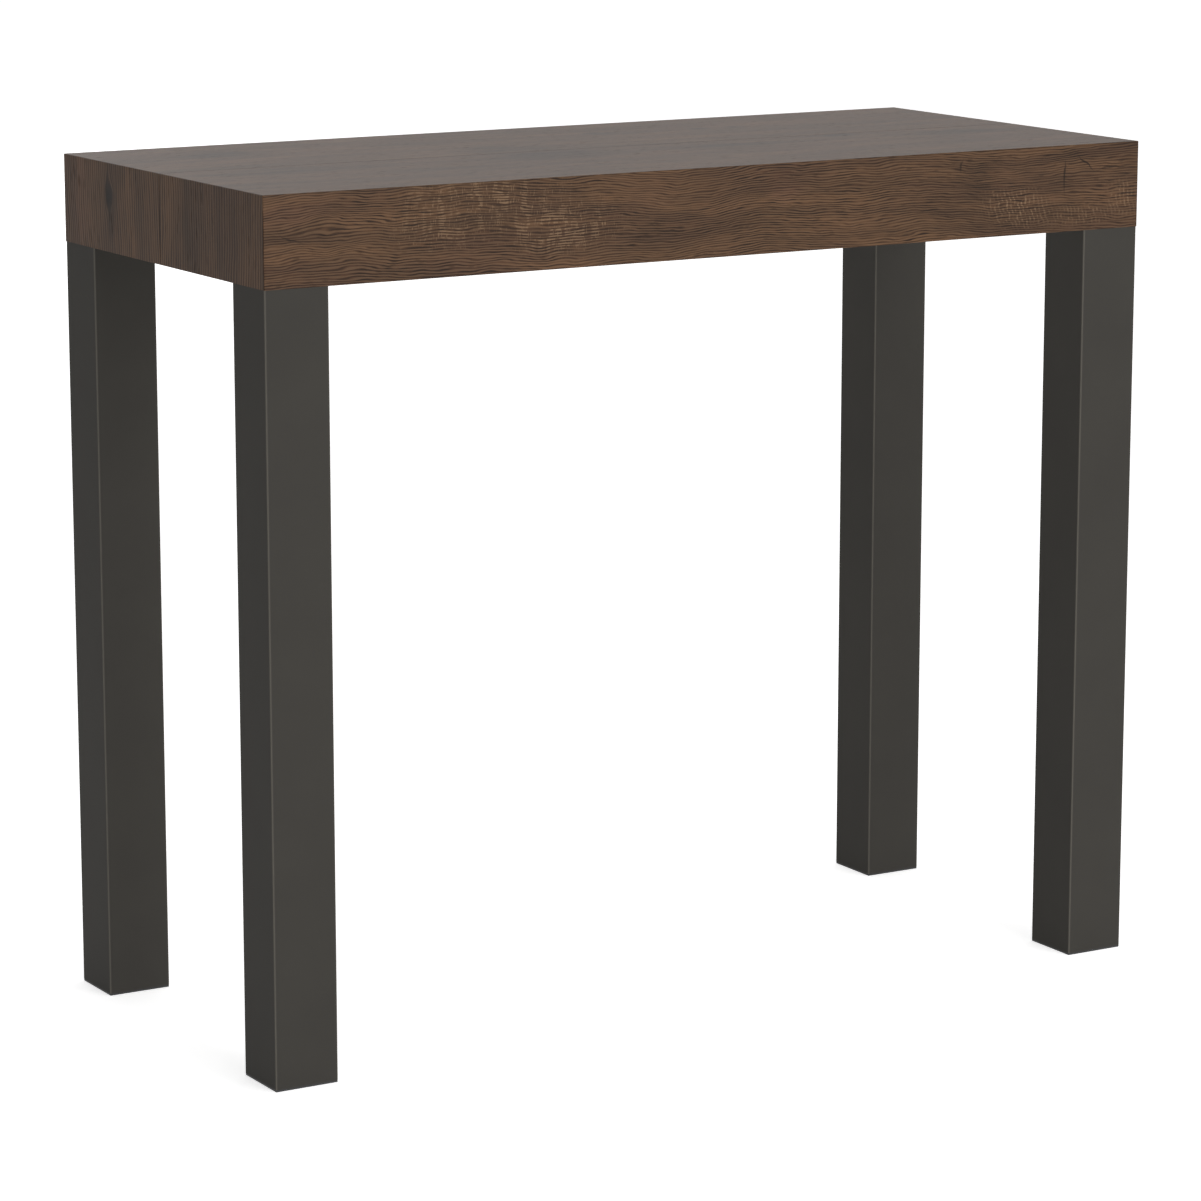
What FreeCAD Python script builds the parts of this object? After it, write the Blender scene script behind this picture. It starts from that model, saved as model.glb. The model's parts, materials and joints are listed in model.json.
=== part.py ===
import FreeCAD, Part
import math
import os
import Sketcher

# Extending console table, closed. Millimetres, +Z up, X along the length, the rear half slides along +Y.
# The origin lies on the floor, under the middle of the closed table.

# Driving dimensions
sizes = {
    # Box of half tops and aprons, mitred at every outer edge
    "table_length": 900,
    "table_depth": 400,
    "table_height": 770,
    "box_height": 79,
    "panel_thickness": 18,
    "seam_bevel": 0.4,
    "edge_arris": 0.5,
    # Square tube legs, each with a welded top plate and a plastic foot plug
    "leg_side": 60,
    "leg_wall": 2,
    "leg_corner_radius": 1.5,
    "leg_inset": 0.3,
    "leg_plate_thickness": 5,
    "foot_thickness": 2,
    "foot_inset": 0.5,
    "plug_depth": 18,
    "plug_wall": 2.5,
    "plug_clearance": 0.15,
    # Corner brackets between the legs and the aprons
    "bracket_side": 66,
    "bracket_thickness": 2.5,
    "bracket_height": 40,
    # Bolts from the brackets down into the leg plates
    "bolt_diameter": 6,
    "bolt_length": 16,
    "bolt_head_diameter": 10,
    "bolt_head_height": 6,
    "bolt_spacing": 14,
    "bolt_socket": 5,
    "bolt_socket_depth": 3,
    # Wood screws from the brackets into the aprons
    "apron_screw_diameter": 3.5,
    "apron_screw_length": 14,
    "apron_screw_head": 7,
    "apron_screw_head_height": 2.5,
    "apron_screw_margin": 10,
    "apron_screw_spacing": 28,
    "apron_screw_height": 26,
    # Telescopic runners of side by side rails
    "rails_per_runner": 7,
    "rail_width": 18,
    "rail_height": 40,
    "rail_wall": 2,
    "rail_gap": 0.5,
    "rail_top_clearance": 1,
    "rail_end_clearance": 3.5,
    "runner_clearance": 4,
    "stage_overlap": 92,
    # Slot and tongue that guide one rail in the next
    "slot_height": 25,
    "slot_lip": 2.5,
    "slot_mouth": 6,
    "slot_chamber_depth": 4,
    "slot_chamber_height": 12,
    "slide_clearance": 0.3,
    # Groove and end stop that drive one rail by the next
    "groove_height": 6,
    "groove_width": 6,
    "groove_depth": 4,
    "stop_thickness": 5,
    "stop_plug_depth": 12,
    "stop_plug_clearance": 0.1,
    # Flanges that hang the end rails under the half tops, and their screws
    "flange_width": 22,
    "flange_thickness": 3,
    "flange_seam_clearance": 8,
    "rail_screw_diameter": 4,
    "rail_screw_length": 14,
    "rail_screw_head": 8,
    "rail_screw_head_height": 2.5,
    "rail_screw_margin": 15,
    "rail_screw_count": 3,
    # Holes
    "hole_clearance": 0.4,
    "pilot_clearance": 0.05,
    "pilot_spare_depth": 1,
    # Dowels that line the half tops up
    "dowel_diameter": 8,
    "dowel_length": 30,
    "dowel_glued_length": 20,
    "dowel_end_distance": 60,
    "dowel_chamfer": 1,
    "dowel_play": 0.6,
    # Swing hooks that hold the closed table shut
    "hook_reach": 60,
    "hook_width": 16,
    "hook_head_diameter": 22,
    "hook_thickness": 2.5,
    "hook_play": 0.25,
    "hook_runner_distance": 25,
    "hook_mouth_angle": 25,
    "pivot_diameter": 6,
    "pivot_collar_diameter": 12,
    "pivot_collar_height": 4,
    "pivot_head_height": 3,
    "pin_diameter": 8,
    "pin_overhang": 3,
    "thread_diameter": 5,
    "thread_length": 12,
}

doc = FreeCAD.newDocument("ExtendingConsoleTable")
sheet = doc.addObject("Spreadsheet::Sheet", "Sizes")
for row, (alias, amount) in enumerate(sizes.items(), start=1):
    sheet.set(f"A{row}", alias)
    sheet.set(f"B{row}", str(amount))
    sheet.setAlias(f"B{row}", alias)
doc.recompute()


class Size:
    """A length worked out from the sheet: its value, and the expression that keeps it tied to the cells."""

    def __init__(self, text, value):
        self.text = text
        self.value = value

    def __add__(self, other):
        return Size(f"({self.text} + {as_size(other).text})", self.value + as_size(other).value)

    def __sub__(self, other):
        return Size(f"({self.text} - {as_size(other).text})", self.value - as_size(other).value)

    def __mul__(self, factor):
        return Size(f"({self.text} * ({factor}))", self.value * factor)

    def __truediv__(self, divisor):
        return Size(f"({self.text} / ({divisor}))", self.value / divisor)

    def __neg__(self):
        return self * -1


def as_size(item):
    return item if isinstance(item, Size) else Size(f"({item})", item)


def cell(name):
    return Size(f"Sizes.{name}", float(sheet.get(name)))


zero = as_size(0)
half_length = cell("table_length") / 2
half_depth = cell("table_depth") / 2
bevel = cell("seam_bevel")
thickness = cell("panel_thickness")
box_height = cell("box_height")
arris = cell("edge_arris")
box_bottom = cell("table_height") - box_height
panel_underside = cell("table_height") - thickness

# Runner layout, measured from a table end towards the middle, and along the rails from their trailing end
rail_count = int(sheet.get("rails_per_runner"))
rail_pitch = cell("rail_width") + cell("rail_gap")
runner_start = thickness + cell("bracket_side") + cell("runner_clearance")
first_rail_face = runner_start + cell("flange_width")
last_rail_face = first_rail_face + rail_pitch * (rail_count - 1)
runner_end = last_rail_face + cell("rail_width") + cell("flange_width")
rail_start = -half_depth + thickness + cell("rail_end_clearance")
rail_length = cell("table_depth") - (thickness + cell("rail_end_clearance")) * 2 - cell("stop_thickness")
rail_end = rail_start + rail_length
rail_bottom = panel_underside - cell("rail_top_clearance") - cell("rail_height")
stage_travel = rail_length - cell("stage_overlap")
flange_underside = panel_underside - cell("flange_thickness")
front_flange_length = -rail_start - cell("flange_seam_clearance")
rear_flange_length = rail_end - cell("flange_seam_clearance")

# Fastener places
leg_reach = cell("leg_side") + cell("leg_inset") - thickness
bolt_middle = leg_reach / 2
bolt_offset = cell("bolt_spacing") / 2
bolt_places = [
    (bolt_middle - bolt_offset, bolt_middle + bolt_offset),
    (bolt_middle + bolt_offset, bolt_middle - bolt_offset),
]
outer_screw = cell("bracket_side") - cell("apron_screw_margin")
apron_screw_places = [outer_screw, outer_screw - cell("apron_screw_spacing")]
hook_across = half_length - runner_end - cell("hook_runner_distance")
hook_along = cell("hook_reach") / 2
dowel_places = [-half_length + cell("dowel_end_distance"), zero, half_length - cell("dowel_end_distance")]

subparts = []
sides = {"left": -1, "right": 1}
half_turns = {"front": 0, "rear": 180}


# Drawing helpers

def new_body(label):
    body = doc.addObject("PartDesign::Body", label)
    body.Label = label
    subparts.append(body)
    return body


def place(item, x, y, z, turn=0, axis=(0, 0, 1)):
    base = [as_size(step) for step in (x, y, z)]
    rotation = FreeCAD.Rotation(FreeCAD.Vector(*axis), turn)
    item.Placement = FreeCAD.Placement(FreeCAD.Vector(*[step.value for step in base]), rotation)
    for direction, step in zip("xyz", base):
        item.setExpression(f"Placement.Base.{direction}", step.text)


def new_sketch(body, plane, level=zero):
    sketch = body.newObject("Sketcher::SketchObject", "Sketch")
    support = next(item for item in body.Origin.OriginFeatures if item.Role == plane)
    sketch.AttachmentSupport = [(support, "")]
    sketch.MapMode = "FlatFace"
    sketch.setExpression("AttachmentOffset.Base.z", level.text)
    return sketch


def hold_point(sketch, line, end, point):
    for kind, step in zip(("DistanceX", "DistanceY"), point):
        number = sketch.addConstraint(Sketcher.Constraint(kind, -1, 1, line, end, step.value))
        sketch.setExpression(f"Constraints[{number}]", step.text)


def draw_outline(sketch, corners):
    corners = [(as_size(x), as_size(y)) for x, y in corners]
    first = sketch.GeometryCount
    points = [FreeCAD.Vector(x.value, y.value, 0) for x, y in corners]
    for here, there in zip(points, points[1:] + points[:1]):
        sketch.addGeometry(Part.LineSegment(here, there), False)
    for number, corner in enumerate(corners):
        following = first + (number + 1) % len(corners)
        sketch.addConstraint(Sketcher.Constraint("Coincident", first + number, 2, following, 1))
        hold_point(sketch, first + number, 1, corner)


def draw_circles(sketch, centres, diameter):
    for x, y in centres:
        middle = (as_size(x), as_size(y))
        centre = FreeCAD.Vector(middle[0].value, middle[1].value, 0)
        circle = Part.Circle(centre, FreeCAD.Vector(0, 0, 1), diameter.value / 2)
        line = sketch.addGeometry(circle, False)
        hold_point(sketch, line, 3, middle)
        number = sketch.addConstraint(Sketcher.Constraint("Diameter", line, diameter.value))
        sketch.setExpression(f"Constraints[{number}]", diameter.text)


def rectangle(x_low, y_low, x_high, y_high):
    return [(x_low, y_low), (x_high, y_low), (x_high, y_high), (x_low, y_high)]


def square(side):
    return rectangle(-side / 2, -side / 2, side / 2, side / 2)


def extrude(body, kind, sketch, length, reverse=False, both_ways=False):
    feature = body.newObject(f"PartDesign::{kind}", kind)
    feature.Profile = sketch
    feature.setExpression("Length", length.text)
    feature.Reversed = reverse
    feature.Midplane = both_ways
    sketch.Visibility = False
    return feature


def pad_outline(body, plane, corners, length, level=zero, reverse=False, hole=None):
    sketch = new_sketch(body, plane, level)
    draw_outline(sketch, corners)
    if hole:
        draw_outline(sketch, hole)
    return extrude(body, "Pad", sketch, length, reverse)


def cut_outline(body, plane, corners, length, level=zero, reverse=False, both_ways=False):
    sketch = new_sketch(body, plane, level)
    draw_outline(sketch, corners)
    return extrude(body, "Pocket", sketch, length, reverse, both_ways)


def pad_circles(body, plane, centres, diameter, length, level=zero, reverse=False):
    sketch = new_sketch(body, plane, level)
    draw_circles(sketch, centres, diameter)
    return extrude(body, "Pad", sketch, length, reverse)


def cut_circles(body, plane, centres, diameter, length, level=zero, reverse=False):
    sketch = new_sketch(body, plane, level)
    draw_circles(sketch, centres, diameter)
    return extrude(body, "Pocket", sketch, length, reverse)


def evenly(first, last, count):
    return [first + (last - first) * (number / (count - 1)) for number in range(count)]


def both_sides(across, along):
    return [(across * side, along) for side in sides.values()]


# Where each half top takes its rail screws, in the half's own frame with its outer edge at -Y

def rail_screw_places(half):
    margin = cell("rail_screw_margin")
    if half == "front":
        across = half_length - runner_start - cell("flange_width") / 2
        first = rail_start + margin
        last = rail_start + front_flange_length - margin
    else:
        across = half_length - runner_end + cell("flange_width") / 2
        first = -rail_end + margin
        last = -rail_end + rear_flange_length - margin
    places = evenly(first, last, int(sheet.get("rail_screw_count")))
    return [centre for along in places for centre in both_sides(across, along)]


# Half top: mitred along its outer edge and both ends, bevelled at the seam, where the halves meet face to face

def make_top_panel(half):
    body = new_body(f"{half}_top_panel")
    profile = [
        (-half_length + arris, thickness),
        (half_length - arris, thickness),
        (half_length - arris / 2, thickness - arris / 2),
        (half_length - thickness, zero),
        (-half_length + thickness, zero),
        (-half_length + arris / 2, thickness - arris / 2),
    ]
    pad_outline(body, "XZ_Plane", profile, half_depth)
    outer_mitre = [
        (-half_depth, thickness),
        (-half_depth + arris, thickness),
        (-half_depth + arris / 2, thickness - arris / 2),
        (-half_depth + thickness, zero),
        (-half_depth, zero),
    ]
    cut_outline(body, "YZ_Plane", outer_mitre, cell("table_length"), both_ways=True)
    seam_edge = [(-bevel, thickness), (zero, thickness), (zero, thickness - bevel)]
    cut_outline(body, "YZ_Plane", seam_edge, cell("table_length"), both_ways=True)
    screw_hole = cell("rail_screw_diameter") + cell("pilot_clearance") * 2
    screw_depth = cell("rail_screw_length") - cell("flange_thickness") + cell("pilot_spare_depth")
    cut_circles(body, "XY_Plane", rail_screw_places(half), screw_hole, screw_depth, reverse=True)
    thread_hole = cell("thread_diameter") + cell("pilot_clearance") * 2
    thread_depth = cell("thread_length") + cell("pilot_spare_depth")
    cut_circles(body, "XY_Plane", both_sides(hook_across, -hook_along), thread_hole, thread_depth, reverse=True)
    if half == "front":
        dowel_hole = cell("dowel_diameter") + cell("pilot_clearance") * 2
        dowel_depth = cell("dowel_glued_length")
    else:
        dowel_hole = cell("dowel_diameter") + cell("dowel_play")
        dowel_depth = cell("dowel_length") - cell("dowel_glued_length") + cell("pilot_spare_depth")
    centres = [(x, thickness / 2) for x in dowel_places]
    cut_circles(body, "XZ_Plane", centres, dowel_hole, dowel_depth, reverse=True)
    place(body, 0, 0, panel_underside, half_turns[half])


# Screw holes in the aprons, from the same places as the bracket screws

pilot_hole = cell("apron_screw_diameter") + cell("pilot_clearance") * 2
pilot_depth = cell("apron_screw_length") - cell("bracket_thickness") + cell("pilot_spare_depth")


def long_apron_screws(height):
    return [centre for step in apron_screw_places for centre in both_sides(half_length - thickness - step, height)]


def end_apron_screws(height):
    return [(-half_depth + thickness + step, height) for step in apron_screw_places]


def make_long_apron(half):
    body = new_body(f"{half}_apron")
    plan = [
        (-half_length + arris, -half_depth),
        (half_length - arris, -half_depth),
        (half_length - arris / 2, -half_depth + arris / 2),
        (half_length - thickness, -half_depth + thickness),
        (-half_length + thickness, -half_depth + thickness),
        (-half_length + arris / 2, -half_depth + arris / 2),
    ]
    pad_outline(body, "XY_Plane", plan, box_height)
    top_mitre = [
        (-half_depth, box_height - arris),
        (-half_depth + arris / 2, box_height - arris / 2),
        (-half_depth + thickness, box_height - thickness),
        (-half_depth + thickness, box_height),
        (-half_depth, box_height),
    ]
    cut_outline(body, "YZ_Plane", top_mitre, cell("table_length"), both_ways=True)
    centres = long_apron_screws(cell("apron_screw_height"))
    cut_circles(body, "XZ_Plane", centres, pilot_hole, pilot_depth, half_depth - thickness, reverse=True)
    place(body, 0, 0, box_bottom, half_turns[half])


# An end apron is drawn in its half's own frame, so the rear half's left one is drawn at the right

def make_end_apron(half, side_name):
    body = new_body(f"{half}_{side_name}_end_apron")
    side = sides[side_name] if half == "front" else -sides[side_name]
    plan = [
        (half_length * side, -half_depth + arris),
        ((half_length - arris / 2) * side, -half_depth + arris / 2),
        ((half_length - thickness) * side, -half_depth + thickness),
        ((half_length - thickness) * side, zero),
        ((half_length - bevel) * side, zero),
        (half_length * side, -bevel),
    ]
    pad_outline(body, "XY_Plane", plan, box_height)
    top_mitre = [
        (half_length * side, box_height - arris),
        ((half_length - arris / 2) * side, box_height - arris / 2),
        ((half_length - thickness) * side, box_height - thickness),
        ((half_length - thickness) * side, box_height),
        (half_length * side, box_height),
    ]
    cut_outline(body, "XZ_Plane", top_mitre, cell("table_depth"), both_ways=True)
    centres = end_apron_screws(cell("apron_screw_height"))
    inner_face = (half_length - thickness) * side
    cut_circles(body, "YZ_Plane", centres, pilot_hole, pilot_depth, inner_face, reverse=side > 0)
    place(body, 0, 0, box_bottom, half_turns[half])


# Each corner piece is drawn for the front left corner and turned to the others

corner_turns = {"front_left": 0, "front_right": 90, "rear_right": 180, "rear_left": 270}


def corner_signs(corner):
    half, side_name = corner.split("_")
    return sides[side_name], -1 if half == "front" else 1


def make_leg(corner):
    body = new_body(f"{corner}_leg")
    side = cell("leg_side")
    leg_length = box_bottom - cell("foot_thickness")
    plate = cell("leg_plate_thickness")
    block = pad_outline(body, "XY_Plane", square(side), leg_length)
    doc.recompute()
    rounding = body.newObject("PartDesign::Fillet", "Fillet")
    uprights = [
        f"Edge{number}"
        for number, edge in enumerate(block.Shape.Edges, start=1)
        if round(abs(edge.tangentAt(edge.FirstParameter).z)) == 1
    ]
    rounding.Base = (block, uprights)
    rounding.setExpression("Radius", cell("leg_corner_radius").text)
    bore = square(side - cell("leg_wall") * 2)
    cut_outline(body, "XY_Plane", bore, leg_length - plate, reverse=True)
    corner_to_middle = side / 2 + cell("leg_inset") - thickness
    centres = [(x - corner_to_middle, y - corner_to_middle) for x, y in bolt_places]
    bolt_hole = cell("bolt_diameter") + cell("pilot_clearance") * 2
    cut_circles(body, "XY_Plane", centres, bolt_hole, plate, leg_length)
    x_sign, y_sign = corner_signs(corner)
    inset = cell("leg_inset") + side / 2
    x = (half_length - inset) * x_sign
    y = (half_depth - inset) * y_sign
    place(body, x, y, cell("foot_thickness"), corner_turns[corner])


def make_foot(corner):
    body = new_body(f"{corner}_foot")
    side = cell("leg_side")
    pad_outline(body, "XY_Plane", square(side - cell("foot_inset") * 2), cell("foot_thickness"))
    plug = side - (cell("leg_wall") + cell("plug_clearance")) * 2
    hollow = square(plug - cell("plug_wall") * 2)
    pad_outline(body, "XY_Plane", square(plug), cell("plug_depth"), cell("foot_thickness"), hole=hollow)
    x_sign, y_sign = corner_signs(corner)
    inset = cell("leg_inset") + side / 2
    place(body, (half_length - inset) * x_sign, (half_depth - inset) * y_sign, 0, corner_turns[corner])


# Formed steel angle: a base on the leg plate, no wider than the leg, and two flanges against the aprons

def make_corner_bracket(corner):
    body = new_body(f"{corner}_bracket")
    side = cell("bracket_side")
    sheet_metal = cell("bracket_thickness")
    pad_outline(body, "XY_Plane", rectangle(zero, zero, leg_reach, leg_reach), sheet_metal)
    angle = [
        (zero, zero),
        (side, zero),
        (side, sheet_metal),
        (sheet_metal, sheet_metal),
        (sheet_metal, side),
        (zero, side),
    ]
    pad_outline(body, "XY_Plane", angle, cell("bracket_height"))
    bolt_hole = cell("bolt_diameter") + cell("hole_clearance") * 2
    cut_circles(body, "XY_Plane", bolt_places, bolt_hole, sheet_metal, reverse=True)
    screw_hole = cell("apron_screw_diameter") + cell("hole_clearance") * 2
    centres = [(step, cell("apron_screw_height")) for step in apron_screw_places]
    cut_circles(body, "XZ_Plane", centres, screw_hole, sheet_metal)
    cut_circles(body, "YZ_Plane", centres, screw_hole, sheet_metal, reverse=True)
    x_sign, y_sign = corner_signs(corner)
    x = (half_length - thickness) * x_sign
    y = (half_depth - thickness) * y_sign
    place(body, x, y, box_bottom, corner_turns[corner])


# Hexagon of a socket, by its distance across the flats

def hexagon(centre, flats):
    reach = flats / (2 * math.cos(math.pi / 6))
    corners = []
    for number in range(6):
        angle = math.pi / 3 * number
        corners.append((centre[0] + reach * math.cos(angle), centre[1] + reach * math.sin(angle)))
    return corners


def make_leg_bolts(half):
    body = new_body(f"{half}_leg_bolts")
    centres = []
    for x, y in bolt_places:
        centres += both_sides(half_length - thickness - x, -half_depth + thickness + y)
    seat = cell("bracket_thickness")
    head_height = cell("bolt_head_height")
    pad_circles(body, "XY_Plane", centres, cell("bolt_head_diameter"), head_height, seat)
    pad_circles(body, "XY_Plane", centres, cell("bolt_diameter"), cell("bolt_length"), seat, reverse=True)
    sockets = new_sketch(body, "XY_Plane", seat + head_height)
    for centre in centres:
        draw_outline(sockets, hexagon(centre, cell("bolt_socket")))
    extrude(body, "Pocket", sockets, cell("bolt_socket_depth"))
    place(body, 0, 0, box_bottom, half_turns[half])


def make_bracket_screws(half):
    body = new_body(f"{half}_bracket_screws")
    head = cell("apron_screw_head")
    head_height = cell("apron_screw_head_height")
    shank = cell("apron_screw_diameter")
    length = cell("apron_screw_length")
    seat = thickness + cell("bracket_thickness")
    long_centres = long_apron_screws(cell("apron_screw_height"))
    pad_circles(body, "XZ_Plane", long_centres, head, head_height, half_depth - seat, reverse=True)
    pad_circles(body, "XZ_Plane", long_centres, shank, length, half_depth - seat)
    end_centres = end_apron_screws(cell("apron_screw_height"))
    for side in sides.values():
        face = (half_length - seat) * side
        pad_circles(body, "YZ_Plane", end_centres, head, head_height, face, reverse=side > 0)
        pad_circles(body, "YZ_Plane", end_centres, shank, length, face, reverse=side < 0)
    place(body, 0, 0, box_bottom, half_turns[half])


def make_rail_screws(half):
    body = new_body(f"{half}_rail_screws")
    centres = rail_screw_places(half)
    head_height = cell("rail_screw_head_height")
    pad_circles(body, "XY_Plane", centres, cell("rail_screw_head"), head_height, reverse=True)
    pad_circles(body, "XY_Plane", centres, cell("rail_screw_diameter"), cell("rail_screw_length"))
    place(body, 0, 0, flange_underside, half_turns[half])


# Aluminium rail, drawn from its outer face towards the middle of the table.
# A T slot in the outer face takes the tongue of the rail before, and a tongue on the inner face enters the next.

def rail_section(has_slot, has_tongue):
    width = cell("rail_width")
    height = cell("rail_height")
    middle = cell("slot_height")
    mouth = cell("slot_mouth") / 2
    chamber = cell("slot_chamber_height") / 2
    lip = cell("slot_lip")
    back = lip + cell("slot_chamber_depth")
    play = cell("slide_clearance")
    corners = [(zero, zero), (width, zero)]
    if has_tongue:
        head_start = width + cell("rail_gap") + lip + play
        head_end = width + cell("rail_gap") + back - play
        corners += [
            (width, middle - mouth + play),
            (head_start, middle - mouth + play),
            (head_start, middle - chamber + play),
            (head_end, middle - chamber + play),
            (head_end, middle + chamber - play),
            (head_start, middle + chamber - play),
            (head_start, middle + mouth - play),
            (width, middle + mouth - play),
        ]
    corners += [(width, height), (zero, height)]
    if has_slot:
        corners += [
            (zero, middle + mouth),
            (lip, middle + mouth),
            (lip, middle + chamber),
            (back, middle + chamber),
            (back, middle - chamber),
            (lip, middle - chamber),
            (lip, middle - mouth),
            (zero, middle - mouth),
        ]
    return corners


def rail_core(margin):
    wall = cell("rail_wall") + margin
    inner_start = cell("slot_lip") + cell("slot_chamber_depth") + wall
    return rectangle(inner_start, wall, cell("rail_width") - wall, cell("rail_height") - wall)


def turned_to(side, corners):
    return [(as_size(x) * -side, y) for x, y in corners]


def rail_name(side_name, number):
    if number == 0:
        return f"{side_name}_front_rail"
    if number == rail_count - 1:
        return f"{side_name}_rear_rail"
    return f"{side_name}_stage_rail_{number}"


def place_on_runner(body, side, number):
    outer_face = first_rail_face + rail_pitch * number
    place(body, (half_length - outer_face) * side, rail_start, rail_bottom)


def make_rail(side_name, number):
    side = sides[side_name]
    body = new_body(rail_name(side_name, number))
    is_first = number == 0
    is_last = number == rail_count - 1
    section = turned_to(side, rail_section(not is_first, not is_last))
    core = turned_to(side, rail_core(zero))
    pad_outline(body, "XZ_Plane", section, rail_length, reverse=True, hole=core)
    if not is_first:
        low = cell("groove_height")
        groove = turned_to(side, rectangle(zero, low, cell("groove_depth"), low + cell("groove_width")))
        run = stage_travel + cell("slide_clearance")
        cut_outline(body, "XZ_Plane", groove, run, -rail_length, reverse=True)
    if is_first or is_last:
        add_flange(body, side, is_first)
    place_on_runner(body, side, number)


# Flange under the half top that carries the rail, only as long as that half top

def add_flange(body, side, is_first):
    width = cell("flange_width")
    top = cell("rail_height") + cell("rail_top_clearance")
    low = top - cell("flange_thickness")
    inner_edge = zero if is_first else cell("rail_width")
    outer_edge = -width if is_first else cell("rail_width") + width
    start = zero if is_first else rail_length - rear_flange_length
    length = front_flange_length if is_first else rear_flange_length
    outline = turned_to(side, rectangle(inner_edge, low, outer_edge, top))
    pad_outline(body, "XZ_Plane", outline, length, -start, reverse=True)
    margin = cell("rail_screw_margin")
    places = evenly(start + margin, start + length - margin, int(sheet.get("rail_screw_count")))
    middle = (inner_edge + outer_edge) / 2
    centres = [(middle * -side, along) for along in places]
    screw_hole = cell("rail_screw_diameter") + cell("hole_clearance") * 2
    cut_circles(body, "XY_Plane", centres, screw_hole, cell("flange_thickness"), low, reverse=True)


# Plastic stop plugged into the leading end of a rail: its lug runs in the groove of the next rail

def make_rail_stop(side_name, number):
    side = sides[side_name]
    body = new_body(rail_name(side_name, number) + "_stop")
    width = cell("rail_width")
    height = cell("rail_height")
    depth = cell("groove_depth")
    play = cell("slide_clearance")
    low = cell("groove_height")
    high = low + cell("groove_width")
    lug_end = width + cell("rail_gap") + depth - play
    plate = [
        (zero, zero),
        (width, zero),
        (width, low + play),
        (lug_end, low + play),
        (lug_end, high - play),
        (width, high - play),
        (width, height),
        (zero, height),
        (zero, high),
        (depth, high),
        (depth, low),
        (zero, low),
    ]
    thick = cell("stop_thickness")
    pad_outline(body, "XZ_Plane", turned_to(side, plate), thick, -rail_length, reverse=True)
    plug = turned_to(side, rail_core(cell("stop_plug_clearance")))
    pad_outline(body, "XZ_Plane", plug, cell("stop_plug_depth"), -rail_length)
    place_on_runner(body, side, number)


# Beech dowels glued into the front half top, loose in the rear one

def make_dowels():
    body = new_body("alignment_dowels")
    centres = [(x, thickness / 2) for x in dowel_places]
    start = cell("dowel_glued_length")
    rods = pad_circles(body, "XZ_Plane", centres, cell("dowel_diameter"), cell("dowel_length"), start, reverse=True)
    doc.recompute()
    chamfer = body.newObject("PartDesign::Chamfer", "Chamfer")
    rims = [
        f"Edge{number}"
        for number, edge in enumerate(rods.Shape.Edges, start=1)
        if isinstance(edge.Curve, Part.Circle)
    ]
    chamfer.Base = (rods, rims)
    chamfer.setExpression("Size", cell("dowel_chamfer").text)
    place(body, 0, 0, panel_underside)


# Shoulder screws under the front half top and catch pins under the rear one

hook_level = cell("pivot_collar_height") + cell("hook_play")


def make_latch_pivots():
    body = new_body("latch_pivots")
    centres = both_sides(hook_across, -hook_along)
    collar = cell("pivot_collar_height")
    shoulder = cell("hook_thickness") + cell("hook_play") * 2
    pad_circles(body, "XY_Plane", centres, cell("thread_diameter"), cell("thread_length"))
    pad_circles(body, "XY_Plane", centres, cell("pivot_collar_diameter"), collar, reverse=True)
    pad_circles(body, "XY_Plane", centres, cell("pivot_diameter"), shoulder, -collar, reverse=True)
    head_level = -(collar + shoulder)
    head = cell("pivot_collar_diameter")
    pad_circles(body, "XY_Plane", centres, head, cell("pivot_head_height"), head_level, reverse=True)
    place(body, 0, 0, panel_underside)


def make_latch_pins():
    body = new_body("latch_pins")
    centres = both_sides(hook_across, -hook_along)
    drop = hook_level + cell("hook_thickness") + cell("pin_overhang")
    pad_circles(body, "XY_Plane", centres, cell("thread_diameter"), cell("thread_length"))
    pad_circles(body, "XY_Plane", centres, cell("pin_diameter"), drop, reverse=True)
    place(body, 0, 0, panel_underside, half_turns["rear"])


def cylinder(name, diameter, height, x=zero):
    item = doc.addObject("Part::Cylinder", name)
    item.setExpression("Radius", (diameter / 2).text)
    item.setExpression("Height", height.text)
    place(item, x, 0, 0)
    return item


# Flat swing hook, drawn with its pivot at the origin, its arm along +X and its mouth open towards +Y

def make_latch_hook(side_name):
    label = f"{side_name}_latch_hook"
    reach = cell("hook_reach")
    width = cell("hook_width")
    plate = cell("hook_thickness")
    seat = cell("pin_diameter") + cell("hook_play") * 2
    arm = doc.addObject("Part::Box", f"{label}_arm")
    for name, length in (("Length", reach), ("Width", width), ("Height", plate)):
        arm.setExpression(name, length.text)
    place(arm, 0, -width / 2, 0)
    tail = cylinder(f"{label}_tail", width, plate)
    head = cylinder(f"{label}_head", cell("hook_head_diameter"), plate, reach)
    blank = doc.addObject("Part::MultiFuse", f"{label}_blank")
    blank.Shapes = [arm, tail, head]
    mouth_outer = cylinder(f"{label}_mouth_outer", reach * 2 + seat, plate)
    mouth_outer.setExpression("Angle", cell("hook_mouth_angle").text)
    mouth = doc.addObject("Part::Cut", f"{label}_mouth")
    mouth.Base = mouth_outer
    mouth.Tool = cylinder(f"{label}_mouth_inner", reach * 2 - seat, plate)
    pivot_hole = cylinder(f"{label}_pivot_hole", cell("pivot_diameter") + cell("hook_play") * 2, plate)
    pin_seat = cylinder(f"{label}_pin_seat", seat, plate, reach)
    openings = doc.addObject("Part::MultiFuse", f"{label}_openings")
    openings.Shapes = [mouth, pivot_hole, pin_seat]
    hook = doc.addObject("Part::Cut", label)
    hook.Label = label
    hook.Base = blank
    hook.Tool = openings
    subparts.append(hook)
    top = panel_underside - hook_level
    if side_name == "left":
        place(hook, -hook_across, -hook_along, top - plate)
    else:
        place(hook, hook_across, -hook_along, top, 180, (0, 1, 0))


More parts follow.
